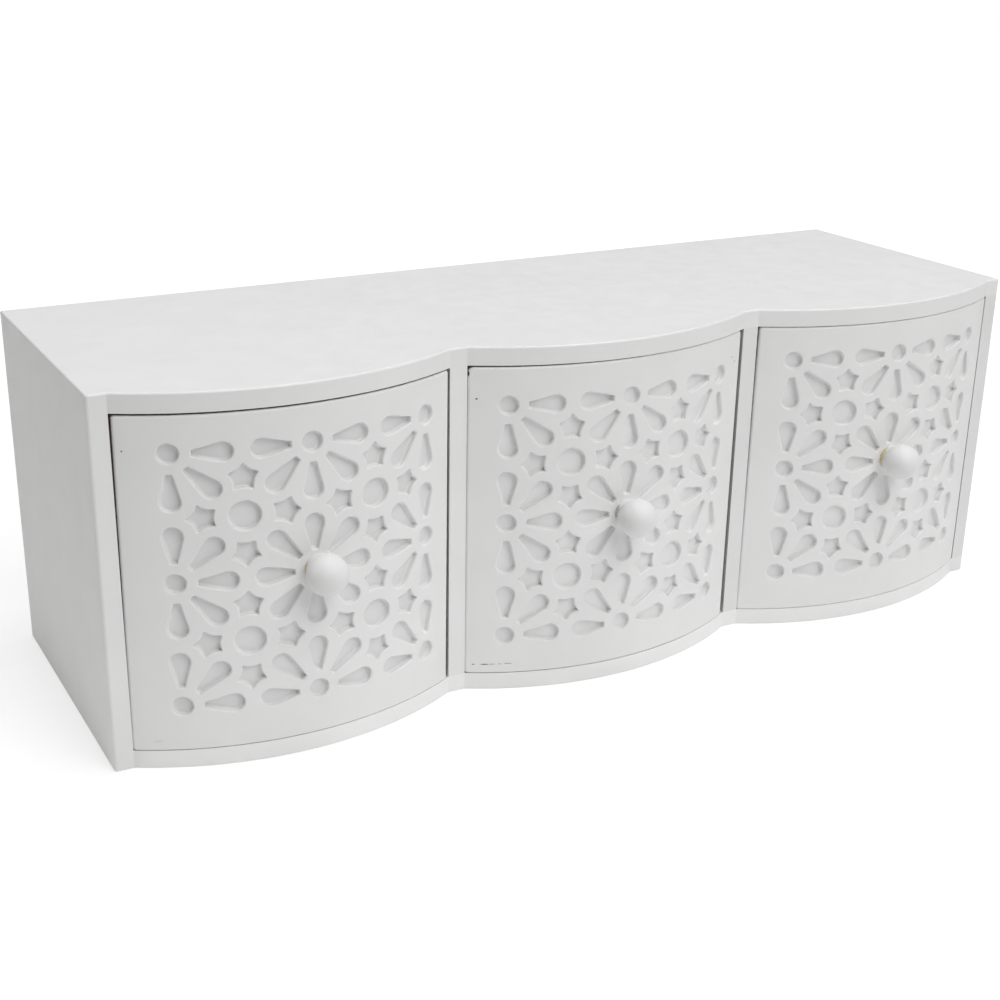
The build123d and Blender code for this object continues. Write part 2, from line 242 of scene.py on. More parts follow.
def run_normals(points):
    """Directions out of a hole along a run of its outline."""
    along = unit(np.gradient(points, axis=0))
    return np.stack([along[:, 1], -along[:, 0]], axis=1)


def eased_outline(runs, radii, spacing):
    """A closed outline of runs, with the corner at the start of each run eased to a radius."""
    radii = np.broadcast_to(radii, len(runs))
    tangents = [(unit(run[1] - run[0]), unit(run[-1] - run[-2])) for run in runs]
    cuts = []
    for k in range(len(runs)):
        into, out = tangents[k - 1][1], tangents[k][0]
        turn = math.acos(max(-1.0, min(1.0, float(into @ out))))
        cuts.append(radii[k] * math.tan(turn / 2))
    trimmed = []
    for k, run in enumerate(runs):
        length = run_lengths(run)[-1]
        after = cuts[(k + 1) % len(runs)]
        points = resample(run, cuts[k], length - after, spacing[k])
        trimmed.append((points, run_normals(points)))
    points, normals = [], []
    for k, (run, out) in enumerate(trimmed):
        next_run, next_out = trimmed[(k + 1) % len(runs)]
        radius = radii[(k + 1) % len(runs)]
        points.append(run)
        normals.append(out)
        core = (run[-1] - radius * out[-1] + next_run[0] - radius * next_out[0]) / 2
        start = math.atan2(out[-1][1], out[-1][0])
        turn = math.remainder(math.atan2(next_out[0][1], next_out[0][0]) - start, 2 * math.pi)
        count = max(1, int(round(abs(turn) / CORNER_TURN)))
        between = start + turn * np.arange(1, count + 1) / (count + 1)
        corner = np.stack([np.cos(between), np.sin(between)], axis=1)
        points.append(core + radius * corner)
        normals.append(corner)
    return np.concatenate(points), np.concatenate(normals)


def round_outline(middle, width, count):
    """A dot or a ring."""
    turn = np.linspace(0, 2 * math.pi, count, endpoint=False)
    circle = np.stack([np.cos(turn), np.sin(turn)], axis=1)
    points = (np.asarray(middle) + circle * width / 2) * STRETCH
    return points, unit(circle / STRETCH)


def petal_outline(rosette, heading):
    """One petal of a rosette: a blunt root that widens to a round end."""
    ahead = unit(np.asarray(heading, float))
    aside = np.array([-ahead[1], ahead[0]])
    tip = DIAGONAL_TIP if heading[0] and heading[1] else PETAL_TIP
    end_radius = PETAL_WIDTH / 2
    end_middle = tip - end_radius
    root_half = PETAL_ROOT_WIDTH / 2
    to_end = math.hypot(end_middle - PETAL_ROOT, root_half)
    side = math.sqrt(to_end**2 - end_radius**2)
    turn = math.asin(end_radius / to_end) - math.atan2(root_half, end_middle - PETAL_ROOT)
    swing = math.pi / 2 + turn
    end = arc_points((end_middle, 0), end_radius, -swing, swing, PETAL_END_POINTS)
    low_side = np.linspace((PETAL_ROOT, -root_half), end[0], PETAL_SIDE_POINTS)[:-1]
    high_side = np.linspace(end[-1], (PETAL_ROOT, root_half), PETAL_SIDE_POINTS)[1:]
    petal = np.concatenate([low_side, end, high_side])
    root = np.array([(PETAL_ROOT, root_half), (PETAL_ROOT, 0), (PETAL_ROOT, -root_half)])
    runs = []
    for drawn in (petal, root):
        turned = drawn[:, :1] * ahead + drawn[:, 1:] * aside
        runs.append((np.asarray(rosette) + turned) * STRETCH)
    return eased_outline(runs, HOLE_CORNER, (PETAL_SPACING,) * 2)


def star_outline(ring, heading):
    """A star beside a ring, one point facing away from the ring, with hollow sides."""
    middle = np.asarray(ring) + np.asarray(heading, float) * STAR_OUT
    start = math.atan2(heading[1], heading[0])
    turns = [start + i * 2 * math.pi / STAR_POINTS for i in range(STAR_POINTS + 1)]
    tips = [middle + STAR_RADIUS * np.array([math.cos(t), math.sin(t)]) for t in turns]
    share = np.linspace(0, 1, STAR_SIDE_POINTS)[:, None]
    sides = []
    for a, b in zip(tips, tips[1:]):
        inwards = unit(middle - (a + b) / 2)
        chord = np.linalg.norm(b - a)
        radius = (chord**2 / 4 + STAR_HOLLOW**2) / (2 * STAR_HOLLOW)
        off = (share - 0.5) * chord
        hollow = np.sqrt(radius**2 - off**2) - (radius - STAR_HOLLOW)
        sides.append((a + (b - a) * share + inwards * hollow) * STRETCH)
    return eased_outline(sides, HOLE_CORNER, (STAR_SPACING,) * STAR_POINTS)


def hole_outlines():
    """Every hole of the unrolled sheet, about the pattern's middle."""
    holes = []
    last = FRET_CELLS / 2
    steps = [i - last for i in range(FRET_CELLS + 1)]
    compass = [(x, y) for x in (-1, 0, 1) for y in (-1, 0, 1) if x or y]
    straight = [heading for heading in compass if not heading[0] * heading[1]]
    for i in steps:
        for j in steps:
            rosette = (i * FRET_CELL, j * FRET_CELL)
            if i or j:
                holes.append(round_outline(rosette, DOT_WIDTH, DOT_POINTS))
            for heading in compass:
                if max(abs(i + heading[0]), abs(j + heading[1])) <= last:
                    holes.append(petal_outline(rosette, heading))
    middles = [step + 0.5 for step in steps[:-1]]
    for i in middles:
        for j in middles:
            ring = (i * FRET_CELL, j * FRET_CELL)
            holes.append(round_outline(ring, RING_WIDTH, RING_POINTS))
            holes += [star_outline(ring, heading) for heading in straight]
    return holes


HOLES = hole_outlines()


def front_outline(side):
    """A drawer front's outline across and up, with eased corners."""
    half, high = DRAWER_WIDTH / 2, DRAWER_HEIGHT
    corners = np.array([(-half, 0), (half, 0), (half, high), (-half, high)]) + FRONT_TRIMS[side]
    ends = np.roll(corners, -1, axis=0)
    runs = [np.linspace(a, b, FRONT_SIDE_POINTS) for a, b in zip(corners, ends)]
    points, normals = eased_outline(runs, FRONT_CORNERS[side], (EDGE_SPACING,) * len(runs))
    return points + (0, DRAWER_Z), normals


def edge_rings(shell, side, outer, inner, eases):
    """Rings around a bent sheet between two radii, from its eased front edge to its back."""
    points, normals = front_outline(side)
    ease = np.interp(normals[:, 1], (-1, 0, 1), eases)
    profile = []
    for t in FRONT_TURNS:
        profile.append((ease * (1 - math.sin(t)), ease * (1 - math.cos(t)), t))
    back = np.full(len(points), BACK_EDGE_ROUND)
    for t in BACK_TURNS:
        depth = outer - inner - back * (1 - math.sin(t))
        profile.append((back * (1 - math.cos(t)), depth, math.pi / 2 + t))
    rings = []
    for inset, depth, tilt in profile:
        x, z = (points - normals * inset[:, None]).T
        angle = np.arcsin(x / (outer - depth))
        sideways = np.stack([normals[:, 0], np.zeros(len(x)), normals[:, 1]], axis=1)
        out = facing(angle) * math.cos(tilt) + sideways * math.sin(tilt)
        rings.append(shell.add(bent(angle, outer - depth, z), out))
    for a, b in zip(rings, rings[1:]):
        shell.strip(b, a)
    return rings


def fill(shell, outer_ring, hole_rings, radius, backwards, grid):
    """Close a bent face between an outer ring and the rings of its holes."""
    points = np.concatenate(shell.points)
    used = np.concatenate([outer_ring, *hole_rings])
    places = points[used]
    across = radius * np.arctan2(places[:, 0], BOW_AXIS_Y - places[:, 1])
    flat = np.stack([across, places[:, 2]], axis=1)
    loops, first = [], 0
    for ring in [outer_ring, *hole_rings]:
        loops.append(list(range(first, first + len(ring))))
        first += len(ring)
    outline = flat[: len(outer_ring)]
    low, high = outline.min(axis=0), outline.max(axis=0)
    spread_x = np.arange(low[0] + grid / 2, high[0], grid)
    spread_z = np.arange(low[1] + grid / 2, high[1], grid)
    extra = np.array([(x, z) for x in spread_x for z in spread_z])
    nearest = np.min(np.linalg.norm(extra[:, None] - flat[None], axis=2), axis=1)
    extra = extra[nearest > grid / 3]
    all_flat = np.concatenate([flat, extra])
    found = delaunay_2d_cdt([Vector(p) for p in all_flat], [], loops, 0, TINY)
    faces, origins, face_origins = found[2], found[3], found[5]
    number = {}
    added = []
    for new, olds in enumerate(origins):
        old = olds[0]
        if old < len(flat):
            number[new] = int(used[old])
        else:
            number[new] = shell.count + len(added)
            added.append(extra[old - len(flat)])
    added = np.array(added).reshape(-1, 2)
    angle = added[:, 0] / radius
    out = facing(angle)
    shell.add(bent(angle, radius, added[:, 1]), -out if backwards else out)
    for face, inside in zip(faces, face_origins):
        if list(inside) == [0]:
            corners = [number[k] for k in face]
            shell.faces.append(corners[::-1] if backwards else corners)


def foot_rounds(outline, normals):
    """How far the paint at the foot reaches into a hole from each point of its outline."""
    apart = outline[None] - outline[:, None]
    inwards = -np.einsum("ijk,ik->ij", apart, normals)
    square = np.sum(apart**2, axis=2)
    radii = np.where(inwards > TINY, square / np.maximum(2 * inwards, TINY), np.inf)
    return np.minimum(FOOT_ROUND, FOOT_SHARE * radii.min(axis=1))


def fretwork(side, material):
    """The pierced sheet, with soft rims around its holes and a soft outer edge."""
    shell = Shell()
    across, up = FRET_SHIFTS[side]
    back_depth = FRET_SHEET + SINK
    rims, feet = [], []
    for outline, normals in HOLES:
        middle = (outline.min(axis=0) + outline.max(axis=0)) / 2
        turn = (middle[0] + across) / BOW_RADIUS
        sideways = along_bow(turn) * normals[:, :1] + UP * normals[:, 1:]
        profile = []
        for t in RIM_TURNS:
            profile.append((RIM_ROUND * (1 - math.sin(t)), RIM_ROUND * (1 - math.cos(t)), t))
        foot = foot_rounds(outline, normals)
        for t in FOOT_TURNS:
            depth = back_depth - foot * (1 - math.sin(t))
            profile.append((-foot * (1 - math.cos(t)), depth, math.pi / 2 - t))
        rings = []
        for offset, depth, tilt in profile:
            place = outline + normals * np.reshape(offset, (-1, 1)) - middle
            radius = BOW_RADIUS - depth
            angle = turn + np.arcsin(place[:, 0] / radius)
            z = DRAWER_MIDDLE_Z + up + middle[1] + place[:, 1]
            out = facing(angle) * math.cos(tilt) - sideways * math.sin(tilt)
            rings.append(shell.add(bent(angle, radius, z), out))
        for a, b in zip(rings, rings[1:]):
            shell.strip(a, b)
        rims.append(rings[0])
        feet.append(rings[-1])
    edges = edge_rings(shell, side, BOW_RADIUS, BOW_RADIUS - back_depth, FRONT_EASES)
    fill(shell, edges[0], rims, BOW_RADIUS, False, FACE_GRID)
    fill(shell, edges[-1], feet, BOW_RADIUS - back_depth, True, PLAIN_GRID)
    new_piece(shell, side, "fretwork", material)


def front_sheet(side, material):
    """The bent sheet behind the fretwork, whose face shows in the holes."""
    shell = Shell()
    outer, inner = BOW_RADIUS - FRET_SHEET, BOW_RADIUS - FRONT_SHEETS
    edges = edge_rings(shell, side, outer, inner, (BACK_EDGE_ROUND,) * 3)
    fill(shell, edges[0], [], outer, False, PLAIN_GRID)
    fill(shell, edges[-1], [], inner, True, PLAIN_GRID)
    new_piece(shell, side, "front_sheet", material)


# Ball knobs
def knob_profile():
    """Distances from the knob's axis and out from the face, and tilts, from foot to tip."""
    ball, neck, crease = KNOB_BALL / 2, KNOB_NECK / 2, KNOB_CREASE
    core = KNOB_STANDOFF - math.sqrt((ball + crease) ** 2 - (neck + crease) ** 2)
    start = math.atan2(core - KNOB_STANDOFF, neck + crease)
    profile = [(neck, -KNOB_SINK, 0.0), (neck, core / 2, 0.0)]
    for t in np.linspace(math.pi, math.pi + start, KNOB_CREASE_RINGS):
        off_axis = neck + crease + crease * math.cos(t)
        profile.append((off_axis, core + crease * math.sin(t), t - math.pi))
    for t in np.linspace(start, math.pi / 2, KNOB_BALL_RINGS)[1:-1]:
        profile.append((ball * math.cos(t), KNOB_STANDOFF + ball * math.sin(t), t))
    return profile


def ball_knob(side, material):
    """A turned ball on a short neck, closed at its foot inside the face."""
    shell = Shell()
    across, up = np.add(FRET_SHIFTS[side], KNOB_SHIFTS[side])
    turn = across / BOW_RADIUS
    foot = bent(turn, BOW_RADIUS, DRAWER_MIDDLE_Z + up)
    out = facing(turn)
    around = np.linspace(0, 2 * math.pi, KNOB_SPOKES, endpoint=False)[:, None]
    spokes = np.cos(around) * along_bow(turn) + np.sin(around) * UP
    rings = []
    for radius, high, tilt in knob_profile():
        normals = math.cos(tilt) * spokes + math.sin(tilt) * out
        rings.append(shell.add(foot + radius * spokes + high * out, normals))
    for a, b in zip(rings, rings[1:]):
        shell.strip(a, b)
    ends = np.array([foot - KNOB_SINK * out, foot + (KNOB_STANDOFF + KNOB_BALL / 2) * out])
    base, tip = shell.add(ends, np.array([-out, out]))
    for a, b in zip(rings[0], np.roll(rings[0], -1)):
        shell.faces.append([int(base), int(b), int(a)])
    for a, b in zip(rings[-1], np.roll(rings[-1], -1)):
        shell.faces.append([int(a), int(b), int(tip)])
    new_piece(shell, side, "knob", material)


# Materials
NOISE_LOW, NOISE_HIGH = 0.3, 0.7  # the range in which nearly all noise lies
SATIN, DULL_SATIN = 0.5, 0.55  # roughness
GLOSS_SPREAD = 0.06
BARE_DULLNESS = 0.4  # how much rougher bare board is
UPRIGHT, SIDEWAYS = (1, 1, 0.08), (0.08, 1, 1)  # which way the streaks in the paint run
STREAK_DEPTH, PEEL_DEPTH, GRAIN_DEPTH = 0.00004, 0.00006, 0.00002  # metres
PAINT_BUMP, ZINC_BUMP = 0.5, 0.4  # how much of that depth shows
FLAW_FADE = (0.6, 1.0)  # where a flaw ends, as shares of its half-widths

# Scale and detail of the noise in each
MOTTLING = (45, 4)
GLOSS = (130, 5)
STREAKS = (900, 3)
PEEL = (520, 2)
FIBRES = (700, 5)
CHIPPED_WOOD = (900, 3)
BAY_EDGE = (160, 3)
FRONT_EDGE = (300, 3)
ZINC_GRAIN = (1600, 3)
ZINC_GLOSS = (600, 4)
FLOOR_SHEET = (3, 2)
FLAW_SCALE = 1400

# Each paint's white and the greyest shade of its mottling
WHITE, GREY_WHITE = (0.83, 0.83, 0.825), (0.805, 0.805, 0.80)
# painted floor light: the base board's front is whiter, as if lit from the white sheet below
FLOOR_LIT_WHITE, FLOOR_LIT_GREY = (0.89, 0.89, 0.885), (0.865, 0.865, 0.86)
# painted shade: a greyer copy of the case's white for the right divider and right end panel
SHADED_WHITE, SHADED_GREY = (0.78, 0.78, 0.775), (0.755, 0.755, 0.75)
BOX_WHITE, BOX_GREY = (0.80, 0.79, 0.765), (0.74, 0.725, 0.69)
THIN_BOARD_WHITE, THIN_BOARD_GREY = (0.80, 0.79, 0.77), (0.75, 0.74, 0.715)
KNOB_WHITE, KNOB_GREY = (0.79, 0.79, 0.785), (0.77, 0.77, 0.765)
# painted shade and painted light: the recess floors' white is darker on the left drawer and
# lighter on the middle one
RECESS_SHADED_WHITES = {"left": 0.795, "middle": 0.845, "right": 0.825}
RECESS_SPREAD = 0.025
# bare board's shades, darker than bare fibreboard: bare board and painted shade in the gaps
FIBRE_AND_SHADE_DARK, FIBRE_AND_SHADE_LIGHT = (0.17, 0.12, 0.085), (0.28, 0.21, 0.15)
CHIP_BROWN = (0.06, 0.05, 0.045)
# also used for the bare wood and painted shade at the knobs' necks
SPOT_SPREAD = 1.4  # how much lighter a chip's lightest shade is
ZINC_DARK, ZINC_LIGHT = (0.5, 0.49, 0.48), (0.68, 0.67, 0.66)
ZINC_ROUGHNESS = (0.28, 0.5)


def grey(level):
    """A colour with no tint."""
    return (level,) * 3


def material_nodes(name, surface="ShaderNodeBsdfPrincipled"):
    """A new node material, its node tree and its surface shader."""
    material = bpy.data.materials.new(name)
    material.use_nodes = True
    tree = material.node_tree
    tree.nodes.clear()
    output = tree.nodes.new("ShaderNodeOutputMaterial")
    shader = tree.nodes.new(surface)
    tree.links.new(shader.outputs[0], output.inputs["Surface"])
    return material, tree, shader


def noise(tree, vector, scale, detail, stretch=(1, 1, 1)):
    """Noise on the piece's own coordinates, finer across some axes than along others."""
    mapping = tree.nodes.new("ShaderNodeMapping")
    mapping.inputs["Scale"].default_value = stretch
    tree.links.new(vector, mapping.inputs["Vector"])
    texture = tree.nodes.new("ShaderNodeTexNoise")
    texture.inputs["Scale"].default_value = scale
    texture.inputs["Detail"].default_value = detail
    tree.links.new(mapping.outputs["Vector"], texture.inputs["Vector"])
    return texture.outputs["Fac"]


def ramp(tree, factor, stops):
    """A colour ramp with two stops, each a place and a colour."""
    node = tree.nodes.new("ShaderNodeValToRGB")
    for element, (place, colour) in zip(node.color_ramp.elements, stops):
        element.position = place
        element.color = (*colour, 1)
    tree.links.new(factor, node.inputs["Fac"])
    return node.outputs["Color"]


def spread_to(tree, factor, low, high):
    """Noise spread over a range of values."""
    node = tree.nodes.new("ShaderNodeMapRange")
    node.inputs["From Min"].default_value = NOISE_LOW
    node.inputs["From Max"].default_value = NOISE_HIGH
    node.inputs["To Min"].default_value = low
    node.inputs["To Max"].default_value = high
    tree.links.new(factor, node.inputs["Value"])
    return node.outputs["Result"]


def bump(tree, height, distance, strength, before=None):
    """Bump of a height in metres over an earlier one."""
    node = tree.nodes.new("ShaderNodeBump")
    node.inputs["Distance"].default_value = distance
    node.inputs["Strength"].default_value = strength
    tree.links.new(height, node.inputs["Height"])
    if before is not None:
        tree.links.new(before, node.inputs["Normal"])
    return node.outputs["Normal"]


def arithmetic(tree, operation, *values):
    """One step of arithmetic on sockets and numbers."""
    node = tree.nodes.new("ShaderNodeMath")
    node.operation = operation
    for socket, value in zip(node.inputs, values):
        if isinstance(value, (int, float)):
            socket.default_value = value
        else:
            tree.links.new(value, socket)
    return node.outputs["Value"]


def on_vectors(tree, operation, a, b):
    """One step of arithmetic on a vector socket and a fixed vector or another socket."""
    node = tree.nodes.new("ShaderNodeVectorMath")
    node.operation = operation
    tree.links.new(a, node.inputs[0])
    if isinstance(b, tuple):
        node.inputs[1].default_value = b
    elif b is not None:
        tree.links.new(b, node.inputs[1])
    return node.outputs["Value"] if operation == "LENGTH" else node.outputs["Vector"]


def fade(tree, value, start, end):
    """Nought before a start and one after an end, with a soft step between."""
    node = tree.nodes.new("ShaderNodeMapRange")
    node.interpolation_type = "SMOOTHSTEP"
    node.inputs["From Min"].default_value = start
    node.inputs["From Max"].default_value = end
    tree.links.new(value, node.inputs["Value"])
    return node.outputs["Result"]


def blend(tree, factor, a, b):
    """One colour going over into another."""
    node = tree.nodes.new("ShaderNodeMix")
    node.data_type = "RGBA"
    tree.links.new(factor, node.inputs[0])
    tree.links.new(a, node.inputs[6])
    tree.links.new(b, node.inputs[7])
    return node.outputs[2]


def split(tree, vector):
    """The three parts of a vector socket."""
    node = tree.nodes.new("ShaderNodeSeparateXYZ")
    tree.links.new(vector, node.inputs[0])
    return [node.outputs[axis] for axis in "XYZ"]


def behind_bow(tree, across, back, unevenness, waver):
    """Distance behind a bow's face, from places across and back of its axis, made to waver."""
    square = arithmetic(tree, "POWER", across, 2.0)
    square = arithmetic(tree, "ADD", square, arithmetic(tree, "POWER", back, 2.0))
    depth = arithmetic(tree, "SUBTRACT", BOW_RADIUS * MM, arithmetic(tree, "SQRT", square))
    return arithmetic(tree, "MULTIPLY_ADD", unevenness, waver * MM, depth)


def inside_bays(tree, place):
    """One on the bare faces inside the bays, whose dark colour is also painted shade, and nought
    from the case's front edges outwards.
    """
    x, y, z = split(tree, place)
    from_middle = arithmetic(tree, "PINGPONG", x, BAY_PITCH / 2 * MM)
    in_bay = arithmetic(tree, "LESS_THAN", from_middle, (BAY_WIDTH / 2 + FACE_SLACK) * MM)
    half_width = CASE_WIDTH / 2 - BOARD + FACE_SLACK
    in_case = arithmetic(tree, "COMPARE", x, 0.0, half_width * MM)
    half_height = CASE_HEIGHT / 2 - BOARD + FACE_SLACK
    in_height = arithmetic(tree, "COMPARE", z, CASE_HEIGHT / 2 * MM, half_height * MM)
    within = arithmetic(tree, "MULTIPLY", in_case, in_height)
    within = arithmetic(tree, "MULTIPLY", in_bay, within)
    back = arithmetic(tree, "SUBTRACT", y, BOW_AXIS_Y * MM)
    depth = behind_bow(tree, from_middle, back, noise(tree, place, *BAY_EDGE), BAY_WAVER)
    start, end = BAY_PAINT
    return arithmetic(tree, "MULTIPLY", within, fade(tree, depth, start * MM, end * MM))


def between_sides(tree, place):
    """One between the case's two sides, going over to nought within their thickness."""
    from_middle = arithmetic(tree, "ABSOLUTE", split(tree, place)[0])
    inner, outer = CASE_WIDTH / 2 - 2 * BOARD, CASE_WIDTH / 2 - BOARD / 2
    return arithmetic(tree, "SUBTRACT", 1.0, fade(tree, from_middle, inner * MM, outer * MM))


def behind_edges(tree, place, side):
    """One on a drawer front's outer edges behind their painted arris, where bare board darkened as
    painted shade shows, nought on its face.
    """
    axis = (DRAWER_CENTRES[side] * MM, BOW_AXIS_Y * MM, 0.0)
    x, y, z = split(tree, on_vectors(tree, "SUBTRACT", place, axis))
    aside = arithmetic(tree, "COMPARE", x, 0.0, (DRAWER_WIDTH / 2 - EDGE_STRIP) * MM)
    half_height = DRAWER_HEIGHT / 2 - EDGE_STRIP
    above = arithmetic(tree, "COMPARE", z, DRAWER_MIDDLE_Z * MM, half_height * MM)
    outside = arithmetic(tree, "SUBTRACT", 1.0, arithmetic(tree, "MULTIPLY", aside, above))
    depth = behind_bow(tree, x, y, noise(tree, place, *FRONT_EDGE), EDGE_WAVER)
    start, end = EDGE_PAINT
    return arithmetic(tree, "MULTIPLY", outside, fade(tree, depth, start * MM, end * MM))


def flaws(tree, place, spots):
    """One inside small ragged spots, each with a middle and half-widths in millimetres."""
    texture = tree.nodes.new("ShaderNodeTexNoise")
    texture.inputs["Scale"].default_value = FLAW_SCALE
    tree.links.new(place, texture.inputs["Vector"])
    ragged = on_vectors(tree, "SUBTRACT", texture.outputs["Color"], (0.5, 0.5, 0.5))
    found = None
    for middle, half in spots:
        off = on_vectors(tree, "SUBTRACT", place, tuple(v * MM for v in middle))
        scaled = on_vectors(tree, "DIVIDE", off, tuple(v * MM for v in half))
        away = on_vectors(tree, "LENGTH", on_vectors(tree, "ADD", scaled, ragged), None)
        spot = arithmetic(tree, "SUBTRACT", 1.0, fade(tree, away, *FLAW_FADE))
        found = spot if found is None else arithmetic(tree, "MAXIMUM", found, spot)
    return found


def shades(tree, factor, low, high):
    """Noise as a colour between two shades."""
    return ramp(tree, factor, [(NOISE_LOW, low), (NOISE_HIGH, high)])


def paint(name, shade, dark, rough=SATIN, stretch=UPRIGHT, bare_and_shade=None, chips_and_shade=(),
          chip_and_shade_colour=CHIP_BROWN, painted_floor_light=None):
    """White satin paint: faint mottling, fine streaks and a slight orange peel.

    Masks say where painted floor light makes it whiter, where bare board shows in a colour
    darkened as painted shade, and where spots lie: chips, and bare wood with painted shade at the
    knobs' necks.
    """
    material, tree, shader = material_nodes(name)
    place = tree.nodes.new("ShaderNodeTexCoord").outputs["Object"]
    mottling = noise(tree, place, *MOTTLING)
    colour = shades(tree, mottling, dark, shade)
    gloss = noise(tree, place, *GLOSS)
    gloss = spread_to(tree, gloss, rough - GLOSS_SPREAD, rough + GLOSS_SPREAD)
    # painted floor light: a whiter white between the case's sides
    if painted_floor_light:
        mask, whiter, less_white = painted_floor_light
        floor_lit_coat = shades(tree, mottling, less_white, whiter)
        colour = blend(tree, mask(tree, place), colour, floor_lit_coat)
    if bare_and_shade:
        raw_and_shade = bare_and_shade(tree, place)
        fibres_and_shade = shades(tree, noise(tree, place, *FIBRES), FIBRE_AND_SHADE_DARK, FIBRE_AND_SHADE_LIGHT)
        colour = blend(tree, raw_and_shade, colour, fibres_and_shade)
        gloss = arithmetic(tree, "MULTIPLY_ADD", raw_and_shade, BARE_DULLNESS, gloss)
    if chips_and_shade:
        chip_and_shade_light = tuple(v * SPOT_SPREAD for v in chip_and_shade_colour)
        wood_and_shade = shades(tree, noise(tree, place, *CHIPPED_WOOD), chip_and_shade_colour, chip_and_shade_light)
        colour = blend(tree, flaws(tree, place, chips_and_shade), colour, wood_and_shade)
    tree.links.new(colour, shader.inputs["Base Color"])
    tree.links.new(gloss, shader.inputs["Roughness"])
    streaks = bump(tree, noise(tree, place, *STREAKS, stretch), STREAK_DEPTH, PAINT_BUMP)
    peel = bump(tree, noise(tree, place, *PEEL), PEEL_DEPTH, PAINT_BUMP, streaks)
    tree.links.new(peel, shader.inputs["Normal"])
    return material


def zinc(name):
    """Zinc-plated steel with a faint crystal grain."""
    material, tree, shader = material_nodes(name)
    place = tree.nodes.new("ShaderNodeTexCoord").outputs["Object"]
    grain = noise(tree, place, *ZINC_GRAIN)
    colour = shades(tree, grain, ZINC_DARK, ZINC_LIGHT)
    gloss = spread_to(tree, noise(tree, place, *ZINC_GLOSS), *ZINC_ROUGHNESS)
    tree.links.new(colour, shader.inputs["Base Color"])
    tree.links.new(gloss, shader.inputs["Roughness"])
    tree.links.new(bump(tree, grain, GRAIN_DEPTH, ZINC_BUMP), shader.inputs["Normal"])
    shader.inputs["Metallic"].default_value = 1.0
    return material


# Specks, and cracks along the joint with the drawer's bottom: middles and half-widths
CHIPS = {
    "left": [
        ((-189.9, -63.5, 118.2), (0.35, 0.6, 0.3)),
        ((-185.0, -65.9, 10.9), (2.2, 1.2, 0.04)),
    ],
    "middle": [
        ((-59.1, -63.7, 118.6), (0.45, 0.6, 0.4)),
        ((-59.3, -63.6, 11.0), (0.7, 0.6, 0.22)),
        ((-55.4, -65.6, 11.0), (2.4, 1.3, 0.24)),
        ((-52.8, -66.8, 11.0), (1.8, 1.0, 0.13)),
        ((-50.0, -68.1, 11.05), (1.2, 0.8, 0.12)),
        ((-47.0, -69.3, 11.15), (2.4, 1.2, 0.13)),
        ((54.1, -65.6, 121.2), (0.35, 0.6, 0.3)),
        ((56.4, -64.5, 119.0), (0.3, 0.6, 0.3)),
        # painted shade: a dark spot on the front's eased upper left corner, beside the gap
        ((-61.7, -62.0, 128.0), (0.5, 0.9, 1.3)),
    ],
    "right": [((84.0, -74.5, 11.2), (1.2, 0.8, 0.12))],
}
CORNER_CHIP = [((-199.6, 61.4, 137.6), (1.3, 1.3, 1.3))]
# Bare wood and painted shade at the left of each knob's neck, under the ball: middle and
# half-widths about the neck's foot, colour
BARE_AND_SHADED_NECKS = {
    "left": [((-5.4, 0.0, -0.4), (2.8, 2.6, 4.4)), (0.54, 0.49, 0.35)],
    "middle": [((-5.2, 0.0, 1.2), (2.2, 2.4, 4.0)), (0.42, 0.40, 0.365)],
    "right": [((-4.6, 0.0, 1.4), (4.6, 2.6, 6.2)), (0.54, 0.46, 0.31)],
}

case_paint = paint("case_paint", WHITE, GREY_WHITE, bare_and_shade=inside_bays)
top_paint = paint("top_paint", WHITE, GREY_WHITE, stretch=SIDEWAYS, bare_and_shade=inside_bays,
                  chips_and_shade=CORNER_CHIP)
# painted floor light on the base board's front, between the case's sides
bottom_paint = paint("bottom_paint", WHITE, GREY_WHITE, stretch=SIDEWAYS, bare_and_shade=inside_bays,
                     painted_floor_light=(between_sides, FLOOR_LIT_WHITE, FLOOR_LIT_GREY))
# painted shade: the case paint made greyer
shaded_paint = paint("shaded_paint", SHADED_WHITE, SHADED_GREY, bare_and_shade=inside_bays)
box_paint = paint("box_paint", BOX_WHITE, BOX_GREY, DULL_SATIN)
thin_board = paint("thin_board_paint", THIN_BOARD_WHITE, THIN_BOARD_GREY, DULL_SATIN)
steel = zinc("zinc_steel")

